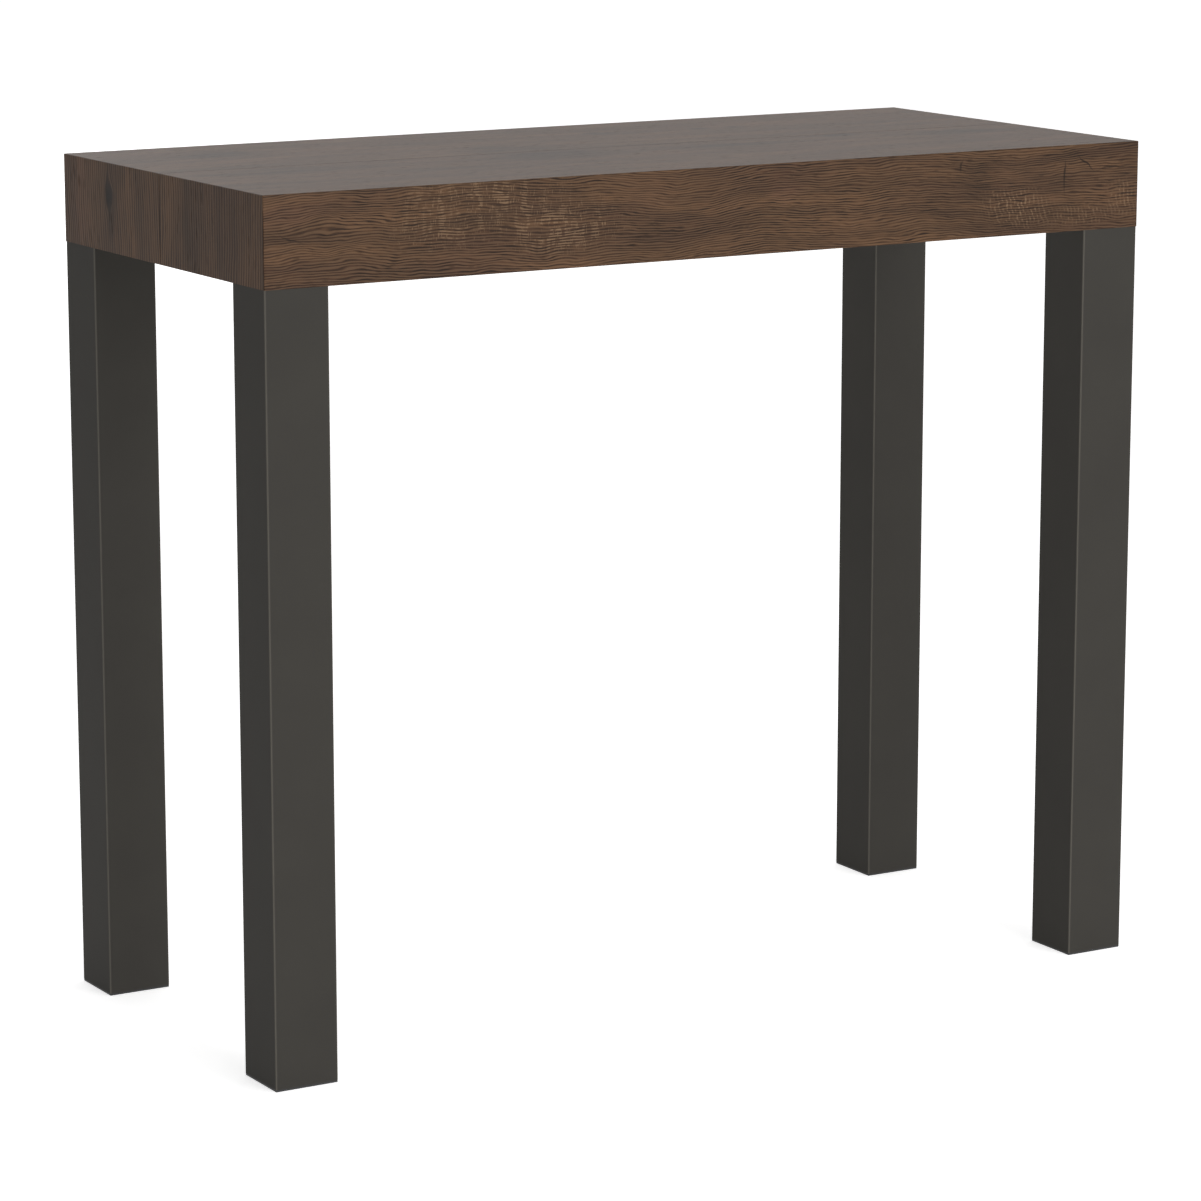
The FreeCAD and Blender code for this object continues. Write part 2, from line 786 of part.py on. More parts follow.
for half_name in half_turns:
    make_top_panel(half_name)
    make_long_apron(half_name)
    for side_label in sides:
        make_end_apron(half_name, side_label)
    make_leg_bolts(half_name)
    make_bracket_screws(half_name)
    make_rail_screws(half_name)
for corner_name in corner_turns:
    make_leg(corner_name)
    make_foot(corner_name)
    make_corner_bracket(corner_name)
for side_label in sides:
    for rail_number in range(rail_count):
        make_rail(side_label, rail_number)
        if rail_number < rail_count - 1:
            make_rail_stop(side_label, rail_number)
    make_latch_hook(side_label)
make_dowels()
make_latch_pivots()
make_latch_pins()
doc.recompute()

# Nothing is written unless every object is sound and every cut took material away
for item in doc.Objects:
    if "Invalid" in item.State or "Error" in item.State:
        raise RuntimeError(f"{item.Label} failed: {item.State}")
    if item.TypeId == "PartDesign::Pocket" and item.Shape.Volume >= item.BaseFeature.Shape.Volume:
        raise RuntimeError(f"{item.Label} in {item.getParent().Label} cuts nothing")
for item in subparts:
    if item.Shape.isNull() or not item.Shape.isValid():
        raise RuntimeError(f"{item.Label} has no valid shape")

os.makedirs("parts", exist_ok=True)
for item in subparts:
    item.Shape.exportStep(f"parts/{item.Label}.step")
    print(item.Label, len(item.Shape.Solids), "solids", round(item.Shape.Volume / 1000, 2), "cm3")
print(len(subparts), "sub-parts, travel", round(stage_travel.value * (rail_count - 1), 1), "mm")
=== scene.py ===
import json
import math
import bmesh
import bpy
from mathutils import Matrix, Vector


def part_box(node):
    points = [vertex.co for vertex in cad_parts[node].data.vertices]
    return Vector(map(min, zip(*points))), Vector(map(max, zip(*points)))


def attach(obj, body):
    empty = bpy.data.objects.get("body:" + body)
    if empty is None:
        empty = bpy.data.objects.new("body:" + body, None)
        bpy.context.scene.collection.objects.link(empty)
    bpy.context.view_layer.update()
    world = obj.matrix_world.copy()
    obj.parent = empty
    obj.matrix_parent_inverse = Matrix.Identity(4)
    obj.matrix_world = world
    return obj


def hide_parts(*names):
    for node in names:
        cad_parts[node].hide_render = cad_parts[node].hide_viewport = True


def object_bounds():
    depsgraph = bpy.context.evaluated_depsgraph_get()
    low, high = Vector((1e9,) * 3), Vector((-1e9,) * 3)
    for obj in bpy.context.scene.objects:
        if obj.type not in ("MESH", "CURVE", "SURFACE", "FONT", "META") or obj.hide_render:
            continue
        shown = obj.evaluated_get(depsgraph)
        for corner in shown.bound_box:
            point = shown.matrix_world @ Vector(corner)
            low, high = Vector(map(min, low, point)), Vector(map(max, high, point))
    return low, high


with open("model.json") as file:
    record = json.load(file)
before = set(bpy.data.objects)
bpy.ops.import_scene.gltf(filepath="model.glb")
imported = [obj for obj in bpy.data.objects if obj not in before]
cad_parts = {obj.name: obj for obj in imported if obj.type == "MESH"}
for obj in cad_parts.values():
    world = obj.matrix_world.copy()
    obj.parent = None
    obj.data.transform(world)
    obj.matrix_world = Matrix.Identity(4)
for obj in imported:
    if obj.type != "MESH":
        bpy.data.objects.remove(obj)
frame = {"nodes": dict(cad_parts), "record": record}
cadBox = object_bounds()
tableMiddle = (Vector(cadBox[0]) + Vector(cadBox[1])) / 2
nodes = frame["nodes"]
bodyOf = {node: body for body, group in frame["record"]["behaviour"]["bodies"].items() for node in group}
scene = bpy.context.scene
scene.view_settings.view_transform = "Standard"
mmPerMetre = 1000.0
samePoint = 1e-6    # metres: points this close are one
print("frame loaded:", len(nodes), "nodes")


# sRGB hex to the linear colour that shaders take
def linearColour(hexText):
    channels = [int(hexText[i:i + 2], 16) / 255 for i in (1, 3, 5)]
    linear = [c / 12.92 if c <= 0.04045 else ((c + 0.055) / 1.055) ** 2.4 for c in channels]
    return (*linear, 1.0)


# adds one node, sets it, links it, and hands back one of its outputs
def addNode(tree, kind, inputs=None, out=0, **settings):
    node = tree.nodes.new(kind)
    for key, value in settings.items():
        setattr(node, key, value)
    for key, value in (inputs or {}).items():
        if isinstance(value, bpy.types.NodeSocket):
            tree.links.new(value, node.inputs[key])
        else:
            node.inputs[key].default_value = value
    return node.outputs[out] if len(node.outputs) else node


def newMaterial(name):
    material = bpy.data.materials.new(name)
    material.use_nodes = True
    material.node_tree.nodes.clear()
    return material, material.node_tree


# colour stops for a ramp: [(position, hex colour), ...]
def setStops(socket, stops):
    ramp = socket.node.color_ramp
    while len(ramp.elements) < len(stops):
        ramp.elements.new(1.0)
    for element, (position, hexText) in zip(ramp.elements, stops):
        element.position = position
        element.color = linearColour(hexText)
    return socket


# Oak decor: paper printed as rough sawn dark oak, pressed in melamine with its pores embossed.
# The eye sees fine dark lines along the grain, pale torn fibres where the saw crossed it, and a
# satin top coat that turns grey when seen at a low angle.
oakPrint = {
    "darkColour": "#352318",
    "midColour": "#463121",
    "paleColour": "#563d29",
    "lineColour": "#241810",
    "poreColour": "#20160e",
    "fleckColour": "#7e654d",
    "blushColour": "#664737",
    "stainAndShadeColour": "#251b14",
    "crackAndSeamShadeColour": "#140d08",
    "zoneStops": (0.3, 0.5, 0.7),  # where the ground tone is dark, middling and pale
    "swayReach": 44.0,             # mm that the grain is moved sideways by the noise of that name
    "wobbleReach": 6.0,            # mm, likewise
    "forkReach": 2.8,              # mm, likewise
    "linePitch": 2.3,              # mm between fine lines, drawn coarser than real so that they show
    "lineRim": (0.45, 0.88),       # heights of the wave where a line starts and is full
    "weakest": 0.70,               # strength of the lines where they are weak
    "fibre": 0.28,                 # share of pale fibre that shows between the lines
    "fibreRim": (0.6, 0.2),        # heights of the same wave where fibre starts and is full
    "ripplePitch": 4.2,            # mm between strokes of rippled grain
    "rippleRim": (0.3, 0.9),       # heights of their wave
    "rippleLean": -16.0,           # degrees
    "poreSize": (14.0, 3.2),       # mm, room of one pore, coarser than real for the same reason
    "poreRim": (0.30, 0.14),       # shares of that room where a pore starts and is full
    "poreRoughness": 0.10,         # added inside a pore
    "roughness": 0.40,
    "gloss": 0.10,                 # specular level: a low gloss film over print
}

# Noises in the print, each with its size in mm along and across the grain, the range of the noise that
# shows as 0 to 1, a seed that sets it apart, and its detail
oakNoise = {
    # how the grain wanders, in long bends and short ones, and how its lines meet and part
    "sway": {"size": (230.0, 300.0), "shows": (0.0, 1.0), "seed": 3.1, "detail": 1.0},
    "wobble": {"size": (36.0, 22.0), "shows": (0.0, 1.0), "seed": 9.7, "detail": 1.0},
    "fork": {"size": (26.0, 4.0), "shows": (0.0, 1.0), "seed": 14.3, "detail": 1.0},
    # broad growth zones, and redder parts
    "zone": {"size": (140.0, 14.0), "shows": (0.0, 1.0), "seed": 21.0, "detail": 2.0},
    "warmth": {"size": (120.0, 42.0), "shows": (0.42, 0.68), "seed": 37.0, "detail": 2.0},
    # where lines are strong, where they aren't broken off, and where rippled strokes stand
    "patch": {"size": (70.0, 26.0), "shows": (0.38, 0.56), "seed": 57.0, "detail": 2.0},
    "break": {"size": (18.0, 1.8), "shows": (0.32, 0.54), "seed": 45.0, "detail": 1.0},
    "tuft": {"size": (3.0, 5.0), "shows": (0.38, 0.58), "seed": 81.0, "detail": 2.0},
    # upright bands that the saw left, the strokes in them, and scratches beside the strokes
    "sawBand": {"size": (11.0, 70.0), "shows": (0.40, 0.56), "seed": 52.0, "detail": 1.0},
    "sawStroke": {"size": (4.6, 9.0), "shows": (0.42, 0.52), "seed": 31.0, "detail": 1.0},
    "tick": {"size": (0.9, 6.0), "shows": (0.60, 0.70), "seed": 66.0, "detail": 1.0},
    # bands with pores, and streaks in stains and in painted shade
    "poreBand": {"size": (60.0, 9.0), "shows": (0.36, 0.60), "seed": 88.0, "detail": 2.0},
    "streak": {"size": (40.0, 4.0), "shows": (0.30, 0.60), "seed": 93.0, "detail": 2.0},
}
seedWay = Vector((1.0, 0.7, 1.3))    # the way that a seed moves its noise


def buildOakPrint():
    tree = bpy.data.node_groups.new("oakPrint", "ShaderNodeTree")
    tree.interface.new_socket("Vector", in_out="INPUT", socket_type="NodeSocketVector")
    for name in ("Wander", "Lines", "Bend", "Saw", "Ripple", "Blush", "StainAndShade", "CrackAndSeamShade"):
        tree.interface.new_socket(name, in_out="INPUT", socket_type="NodeSocketFloat")
    tree.interface.new_socket("Colour", in_out="OUTPUT", socket_type="NodeSocketColor")
    tree.interface.new_socket("Height", in_out="OUTPUT", socket_type="NodeSocketFloat")
    tree.interface.new_socket("Roughness", in_out="OUTPUT", socket_type="NodeSocketFloat")
    given = addNode(tree, "NodeGroupInput").node.outputs
    place = given["Vector"]

    # noise drawn out along the grain, where the part that shows becomes 0 to top
    def grainNoise(name, vector, top=1.0):
        values = oakNoise[name]
        along, across = values["size"]
        low, high = values["shows"]
        scaled = addNode(tree, "ShaderNodeMapping", {
            "Vector": vector, "Location": seedWay * values["seed"],
            "Scale": (1 / along, 1 / across, 1 / across)})
        noise = addNode(tree, "ShaderNodeTexNoise", {
            "Vector": scaled, "Scale": 1.0, "Detail": values["detail"]})
        return addNode(tree, "ShaderNodeMapRange", {
            "Value": noise, "From Min": low, "From Max": high, "To Max": top})

    # the grain wanders, bends round knots, and its lines fork
    shift = given["Bend"]
    for name in ("sway", "wobble", "fork"):
        wander = grainNoise(name, place, oakPrint[name + "Reach"])
        shift = addNode(tree, "ShaderNodeMath", {0: wander, 1: given["Wander"], 2: shift},
                        operation="MULTIPLY_ADD")
    offset = addNode(tree, "ShaderNodeCombineXYZ", {"X": shift, "Y": shift})
    grain = addNode(tree, "ShaderNodeVectorMath", {0: place, 1: offset}, operation="ADD")

    # fine lines, and rippled strokes that lean across them
    oneWave = math.pi / 10    # scale for one wave to a unit: a wave texture has 20 radians to a unit
    ring = addNode(tree, "ShaderNodeTexWave", {
        "Vector": grain, "Scale": oneWave / oakPrint["linePitch"]}, out="Fac", bands_direction="Y")
    patches = grainNoise("patch", place)
    patches = addNode(tree, "ShaderNodeMath", {0: patches, 1: oakPrint["weakest"]}, operation="MAXIMUM")
    patches = addNode(tree, "ShaderNodeMath", {0: patches, 1: given["Lines"]}, operation="MULTIPLY")
    unbroken = grainNoise("break", grain, patches)
    low, high = oakPrint["lineRim"]
    lines = addNode(tree, "ShaderNodeMapRange", {
        "Value": ring, "From Min": low, "From Max": high, "To Max": unbroken})
    leaning = addNode(tree, "ShaderNodeMapping", {
        "Vector": grain, "Rotation": (0, 0, math.radians(oakPrint["rippleLean"]))})
    ripple = addNode(tree, "ShaderNodeTexWave", {
        "Vector": leaning, "Scale": oneWave / oakPrint["ripplePitch"]}, out="Fac", bands_direction="X")
    low, high = oakPrint["rippleRim"]
    strokes = addNode(tree, "ShaderNodeMapRange", {
        "Value": ripple, "From Min": low, "From Max": high,
        "To Max": grainNoise("tuft", place, given["Ripple"])})

    # between the lines, fibres are torn up pale in saw strokes, with upright ticks
    bands = grainNoise("sawBand", place, given["Saw"])
    torn = grainNoise("sawStroke", place, bands)
    fibres = addNode(tree, "ShaderNodeMath", {0: torn, 1: oakPrint["fibre"]}, operation="MAXIMUM")
    low, high = oakPrint["fibreRim"]
    pale = addNode(tree, "ShaderNodeMapRange", {
        "Value": ring, "From Min": low, "From Max": high, "To Max": fibres})
    for where in (grainNoise("tick", place, given["Saw"]), strokes):
        pale = addNode(tree, "ShaderNodeMath", {0: pale, 1: where}, operation="MAXIMUM")

    # pores are thin cells, and come and go in bands
    along, across = oakPrint["poreSize"]
    scaled = addNode(tree, "ShaderNodeMapping", {
        "Vector": grain, "Scale": (1 / along, 1 / across, 1 / across)})
    nearest = addNode(tree, "ShaderNodeTexVoronoi", {"Vector": scaled, "Scale": 1.0}, feature="F1")
    low, high = oakPrint["poreRim"]
    pores = addNode(tree, "ShaderNodeMapRange", {
        "Value": nearest, "From Min": low, "From Max": high, "To Max": grainNoise("poreBand", grain)})

    # colours laid over the ground tone, each as (how much at most, where, colour); the stain colour also
    # lays painted shade over the end faces, and the crack colour lays painted shade on the seam bevels
    tones = [oakPrint[name] for name in ("darkColour", "midColour", "paleColour")]
    ground = addNode(tree, "ShaderNodeValToRGB", {"Fac": grainNoise("zone", grain)})
    colour = setStops(ground, list(zip(oakPrint["zoneStops"], tones)))
    for most, where, name in (
            (0.14, grainNoise("warmth", place), "blushColour"),
            (0.60, given["Blush"], "blushColour"),
            (0.70, pale, "fleckColour"),
            (1.00, lines, "lineColour"),
            (0.38, pores, "poreColour"),
            (1.00, grainNoise("streak", grain, given["StainAndShade"]), "stainAndShadeColour"),
            (1.00, given["CrackAndSeamShade"], "crackAndSeamShadeColour")):
        share = addNode(tree, "ShaderNodeMath", {0: where, 1: most}, operation="MULTIPLY")
        colour = addNode(tree, "ShaderNodeMix", {0: share, 6: colour, 7: linearColour(oakPrint[name])},
                         out=2, data_type="RGBA")

    hollow = addNode(tree, "ShaderNodeMath", {0: pores, 1: given["CrackAndSeamShade"]}, operation="MAXIMUM")
    height = addNode(tree, "ShaderNodeMath", {0: pale, 1: hollow}, operation="SUBTRACT")
    rough = addNode(tree, "ShaderNodeMath", {
        0: pores, 1: oakPrint["poreRoughness"], 2: oakPrint["roughness"]}, operation="MULTIPLY_ADD")
    addNode(tree, "NodeGroupOutput", {"Colour": colour, "Height": height, "Roughness": rough})
    return tree


oakTree = buildOakPrint()

# Each board: the axes that its grain follows and crosses on the shown face, how much coarser its print is
# along and across, its gloss, how much its grain wanders, how strong its lines are, where its part of the
# print starts, and its marks. A mark is (kind, centre, half sizes, turn in degrees, amount), in mm.
plainBoard = {"coarse": (1.0, 1.0), "gloss": oakPrint["gloss"], "wander": 1.0, "lines": 1.0}
longApron = {**plainBoard, "along": "X", "across": "Z"}
halfTop = {**plainBoard, "along": "X", "across": "Y"}
leftEnd = {"along": "Z", "across": "Y", "coarse": (1.6, 2.0), "gloss": 0.06, "wander": 0.45, "lines": 0.8}
rightEnd = {**leftEnd, "wander": 0.6, "lines": 0.7}
boards = {
    "front_apron": {**longApron, "start": (0, 0, 500), "marks": [
        ("knot", (-388, 736), (48, 22), 0, 0.4),
        ("StainAndShade", (-384, 738), (13, 6), 0, 0.45),
        ("CrackAndSeamShade", (-424, 731), (15, 1.2), -28, 0.6),
        ("Blush", (-430, 752), (60, 16), 8, 0.45),
        ("Blush", (62, 744), (26, 13), 0, 0.5),
        ("Saw", (-235, 752), (140, 46), 0, 1.0),
        ("Saw", (-165, 728), (96, 40), 0, 1.0),
        ("Saw", (-285, 735), (76, 34), 0, 0.9),
        ("StainAndShade", (-245, 741), (70, 12), 0, 0.35),
        ("Ripple", (316, 716), (60, 26), -8, 1.0),
        ("Ripple", (385, 706), (56, 14), 0, 0.7),
        ("Ripple", (432, 718), (30, 24), 0, 0.9),
        ("CrackAndSeamShade", (367, 743), (22, 1.3), 90, 0.7),
        ("CrackAndSeamShade", (390, 753), (16, 1.6), -40, 0.85),
        ("CrackAndSeamShade", (422, 747), (22, 1.5), 2, 0.75),
        ("CrackAndSeamShade", (252, 757), (10, 1.6), 90, 0.6),
        ("StainAndShade", (172, 702), (48, 10), 0, 0.35),
        ("StainAndShade", (-60, 722), (55, 17), 20, 0.25),
        ("StainAndShade", (268, 742), (32, 26), 0, 0.4),
        ("StainAndShade", (345, 738), (48, 14), -12, 0.4),
        ("StainAndShade", (436, 742), (22, 18), 0, 0.4)]},
    "rear_apron": {**longApron, "start": (2500, 0, 500), "marks": [
        ("knot", (180, 728), (70, 28), 0, 0.8),
        ("StainAndShade", (184, 728), (14, 7), 0, 0.5),
        ("Saw", (-240, 744), (130, 30), 0, 0.9),
        ("Blush", (-40, 716), (60, 16), 0, 0.7),
        ("Ripple", (345, 745), (46, 20), 0, 0.8),
        ("CrackAndSeamShade", (250, 748), (18, 1.2), -14, 0.7)]},
    # Each end board below has a faint stain over most of its face, half sizes (160, 160): painted shade
    # that darkens the end faces a little
    "front_left_end_apron": {**leftEnd, "start": (700, 0, 100), "marks": [
        ("Saw", (735, -95), (60, 26), 0, 0.3),
        ("StainAndShade", (730, -100), (160, 160), 0, 0.1),
        ("StainAndShade", (730, -52), (70, 14), 0, 0.5)]},
    "rear_left_end_apron": {**leftEnd, "start": (1700, 300, 100), "marks": [
        ("knot", (742, 105), (26, 15), 0, 0.6),
        ("CrackAndSeamShade", (741, 107), (15, 11), 0, 0.75),
        ("StainAndShade", (730, 100), (160, 160), 0, 0.1),
        ("StainAndShade", (725, 100), (36, 16), 0, 0.5),
        ("Blush", (735, 165), (70, 30), 0, 0.5)]},
    "front_right_end_apron": {**rightEnd, "start": (2700, 0, 100), "marks": [
        ("Saw", (735, -120), (60, 26), 0, 0.3),
        ("StainAndShade", (730, -100), (160, 160), 0, 0.1),
        ("StainAndShade", (722, -45), (40, 12), 0, 0.4)]},
    "rear_right_end_apron": {**rightEnd, "start": (3700, 500, 100), "marks": [
        ("Saw", (735, 60), (60, 22), 0, 0.3),
        ("StainAndShade", (730, 100), (160, 160), 0, 0.1),
        ("Blush", (735, 140), (70, 30), 0, 0.5)]},
    "front_top_panel": {**halfTop, "start": (0, 0, 0), "marks": [
        ("StainAndShade", (-335, -38), (150, 32), 0, 0.8),
        ("StainAndShade", (-80, -30), (95, 62), 0, 0.8),
        ("StainAndShade", (345, -38), (90, 28), 0, 0.75),
        ("knot", (240, -18), (60, 24), 0, 0.6),
        ("StainAndShade", (240, -14), (30, 15), 0, 0.95),
        ("StainAndShade", (110, -40), (110, 18), 0, 0.75),
        ("Saw", (60, -130), (140, 45), 0, 0.6)]},
    "rear_top_panel": {**halfTop, "start": (900, 300, 0), "marks": [
        ("knot", (56, 117), (60, 24), 0, 0.6),
        ("StainAndShade", (56, 117), (24, 15), 0, 1.0),
        ("StainAndShade", (164, 108), (18, 12), 0, 0.95),
        ("StainAndShade", (204, 105), (18, 13), 0, 1.0),
        ("StainAndShade", (-335, 118), (80, 36), 0, 0.8),
        ("StainAndShade", (-90, 35), (85, 42), 0, 0.75),
        ("StainAndShade", (-140, 118), (70, 14), 0, 0.7),
        ("Saw", (-140, 60), (120, 40), 0, 0.6)]},
}
markOval = {
    "strayStep": 22.0,     # mm between the turns of a straying rim
    "strayReach": 12.0,    # mm from side to side
    "core": 0.2,           # share of the oval where a mark is full
    "depth": 1e9,          # mm: a mark goes right through its board
}
embossing = {"strength": 0.3, "depth": 0.25}               # depth in mm
paintedSeamShade = {"bevel": 0.4, "blur": 0.15, "amount": 0.85}    # mm: painted shade on the bevels where the halves meet, standing in for the shade in the groove


def oakDecor(name, board):
    material, tree = newMaterial("oakDecor." + name)
    coords = addNode(tree, "ShaderNodeTexCoord", out="Object")
    parts = addNode(tree, "ShaderNodeSeparateXYZ", {0: coords}).node.outputs
    depth = ({"X", "Y", "Z"} - {board["along"], board["across"]}).pop()
    turned = addNode(tree, "ShaderNodeCombineXYZ", {
        "X": parts[board["along"]], "Y": parts[board["across"]], "Z": parts[depth]})
    place = addNode(tree, "ShaderNodeVectorMath", {0: turned, "Scale": mmPerMetre}, operation="SCALE")
    placed = addNode(tree, "ShaderNodeSeparateXYZ", {0: place}).node.outputs
    across = placed["Y"]

    # the print goes on round the board's edges: depth behind the shown face counts as width
    number = "XYZ".index(depth)
    levels = [corner[number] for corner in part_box(name)]
    shownFace = max(levels, key=lambda level: abs(level - tableMiddle[number])) * mmPerMetre
    behind = addNode(tree, "ShaderNodeMath", {0: placed["Z"], 1: shownFace}, operation="SUBTRACT")
    width = addNode(tree, "ShaderNodeMath", {0: across, 1: behind}, operation="ADD")
    wrapped = addNode(tree, "ShaderNodeCombineXYZ", {"X": placed["X"], "Y": width, "Z": placed["Z"]})
    longer, wider = board["coarse"]
    start = addNode(tree, "ShaderNodeVectorMath", {
        0: wrapped, 1: (1 / longer, 1 / wider, 1 / wider), 2: board["start"]}, operation="MULTIPLY_ADD")
    printed = addNode(tree, "ShaderNodeGroup", node_tree=oakTree).node
    tree.links.new(start, printed.inputs["Vector"])
    printed.inputs["Wander"].default_value = board["wander"]
    printed.inputs["Lines"].default_value = board["lines"]

    # place that strays a little, so that no mark has a clean rim
    stray = addNode(tree, "ShaderNodeTexNoise", {
        "Vector": start, "Scale": 1 / markOval["strayStep"]}, out="Color")
    middle = (0.5, 0.5, 0.5)    # of the noise, so that it strays either way alike
    stray = addNode(tree, "ShaderNodeVectorMath", {0: stray, 1: middle}, operation="SUBTRACT")
    stray = addNode(tree, "ShaderNodeVectorMath", {0: stray, 1: (markOval["strayReach"],) * 3, 2: place},
                    operation="MULTIPLY_ADD")
    strongest = {}
    # painted shade: on boards that meet at the seam, the bevels next to it are drawn in the crack colour,
    # standing in for the shade in the groove between the halves
    if board["across"] == "Y":
        beside = addNode(tree, "ShaderNodeMath", {0: across}, operation="ABSOLUTE")
        strongest["CrackAndSeamShade"] = addNode(tree, "ShaderNodeMapRange", {
            "Value": beside, "From Min": paintedSeamShade["bevel"] + paintedSeamShade["blur"],
            "From Max": paintedSeamShade["bevel"], "To Max": paintedSeamShade["amount"]})
    for kind, centre, half, turn, amount in board["marks"]:
        oval = addNode(tree, "ShaderNodeMapping", {
            "Vector": stray, "Location": (*centre, 0), "Rotation": (0, 0, math.radians(turn)),
            "Scale": (*half, markOval["depth"])}, vector_type="TEXTURE")
        rim = addNode(tree, "ShaderNodeVectorMath", {0: oval}, out="Value", operation="LENGTH")
        mark = addNode(tree, "ShaderNodeMapRange", {
            "Value": rim, "From Min": 1.0, "From Max": markOval["core"], "To Max": amount},
            interpolation_type="SMOOTHSTEP")
        if kind == "knot":    # the grain bends round it, on both sides
            beside = addNode(tree, "ShaderNodeMath", {0: centre[1], 1: across}, operation="SUBTRACT")
            mark = addNode(tree, "ShaderNodeMath", {0: beside, 1: mark}, operation="MULTIPLY")
        if kind in strongest:
            mark = addNode(tree, "ShaderNodeMath", {0: strongest[kind], 1: mark}, operation="MAXIMUM")
        strongest[kind] = mark
    for kind, mark in strongest.items():
        tree.links.new(mark, printed.inputs["Bend" if kind == "knot" else kind])

    bump = addNode(tree, "ShaderNodeBump", {
        "Height": printed.outputs["Height"], "Strength": embossing["strength"],
        "Distance": embossing["depth"] / mmPerMetre})
    shader = addNode(tree, "ShaderNodeBsdfPrincipled", {
        "Base Color": printed.outputs["Colour"], "Roughness": printed.outputs["Roughness"],
        "Specular IOR Level": board["gloss"], "Normal": bump})
    addNode(tree, "ShaderNodeOutputMaterial", {"Surface": shader})
    return material


# Powder coat baked on steel tube: warm anthracite, matt, with a fine orange peel and faint clouds, and a
# painted highlight: a thin paler line along the corners, for the light they catch. Sizes in mm, also in
# the materials below.
legCoat = {
    "colour": "#3d3b37", "cloudColour": "#383633", "cornerHighlightColour": "#69655e",
    "cloudSize": 70.0, "cornerHighlightWidth": 1.6, "peelSize": 1.1, "peelDepth": 0.2, "peelStrength": 0.15,
    "roughness": 0.55, "roughSpan": 0.1, "gloss": 0.045,
}


def powderCoat():
    material, tree = newMaterial("anthracitePowderCoat")
    coords = addNode(tree, "ShaderNodeTexCoord", out="Object")
    peel = addNode(tree, "ShaderNodeTexNoise", {
        "Vector": coords, "Scale": mmPerMetre / legCoat["peelSize"]})
    cloud = addNode(tree, "ShaderNodeTexNoise", {
        "Vector": coords, "Scale": mmPerMetre / legCoat["cloudSize"]})
    colour = addNode(tree, "ShaderNodeMix", {
        0: cloud, 6: linearColour(legCoat["cloudColour"]), 7: linearColour(legCoat["colour"])},
        out=2, data_type="RGBA")

    # how far a point lies from the leg's axis, folded so that all four legs are one
    low, high = (Vector(corner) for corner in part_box("rear_right_leg"))
    folded = addNode(tree, "ShaderNodeVectorMath", {0: coords}, operation="ABSOLUTE")
    folded = addNode(tree, "ShaderNodeVectorMath", {0: folded, 1: (low + high) / 2}, operation="SUBTRACT")
    folded = addNode(tree, "ShaderNodeVectorMath", {0: folded}, operation="ABSOLUTE")
    parts = addNode(tree, "ShaderNodeSeparateXYZ", {0: folded}).node.outputs
    nearer = addNode(tree, "ShaderNodeMath", {0: parts["X"], 1: parts["Y"]}, operation="MINIMUM")
    halfLeg = (high.x - low.x) / 2
    # painted highlight: a thin paler strip at each upright corner of the leg, standing in for the light
    # that its rounded edges catch
    corner = addNode(tree, "ShaderNodeMapRange", {
        "Value": nearer, "From Min": halfLeg - legCoat["cornerHighlightWidth"] / mmPerMetre, "From Max": halfLeg})
    colour = addNode(tree, "ShaderNodeMix", {
        0: corner, 6: colour, 7: linearColour(legCoat["cornerHighlightColour"])}, out=2, data_type="RGBA")
    rough = addNode(tree, "ShaderNodeMath", {
        0: peel, 1: legCoat["roughSpan"], 2: legCoat["roughness"] - legCoat["roughSpan"] / 2},
        operation="MULTIPLY_ADD")
    bump = addNode(tree, "ShaderNodeBump", {
        "Height": peel, "Strength": legCoat["peelStrength"],
        "Distance": legCoat["peelDepth"] / mmPerMetre})
    shader = addNode(tree, "ShaderNodeBsdfPrincipled", {
        "Base Color": colour, "Roughness": rough, "Specular IOR Level": legCoat["gloss"], "Normal": bump})
    addNode(tree, "ShaderNodeOutputMaterial", {"Surface": shader})
    return material


# Anodised aluminium: extruded along Y, satin, with fine die lines that run the length of the rail
anodised = {
    "colour": "#c6c8ca", "lineWidth": 0.9, "lineLength": 260.0, "lineDepth": 0.1, "lineStrength": 0.12,
    "lineDetail": 3.0, "roughness": 0.34, "roughSpan": 0.2,
}


def anodisedAluminium():
    material, tree = newMaterial("anodisedAluminium")
    coords = addNode(tree, "ShaderNodeTexCoord", out="Object")
    width, length = (mmPerMetre / anodised[name] for name in ("lineWidth", "lineLength"))
    drawn = addNode(tree, "ShaderNodeMapping", {"Vector": coords, "Scale": (width, length, width)})
    lines = addNode(tree, "ShaderNodeTexNoise", {
        "Vector": drawn, "Scale": 1.0, "Detail": anodised["lineDetail"]})
    rough = addNode(tree, "ShaderNodeMath", {
        0: lines, 1: anodised["roughSpan"], 2: anodised["roughness"] - anodised["roughSpan"] / 2},
        operation="MULTIPLY_ADD")
    bump = addNode(tree, "ShaderNodeBump", {
        "Height": lines, "Strength": anodised["lineStrength"],
        "Distance": anodised["lineDepth"] / mmPerMetre})
    shader = addNode(tree, "ShaderNodeBsdfPrincipled", {
        "Base Color": linearColour(anodised["colour"]), "Metallic": 1.0, "Roughness": rough,
        "Normal": bump})
    addNode(tree, "ShaderNodeOutputMaterial", {"Surface": shader})
    return material


# Zinc plate on pressed steel: bright bluish grey with faint crystal clouds that vary its gloss
zincPlate = {
    "colour": "#b4b8bb", "cloudColour": "#9fa4a8", "cloudSize": 5.0, "cloudDetail": 4.0,
    "roughness": 0.3, "roughSpan": 0.24,
}


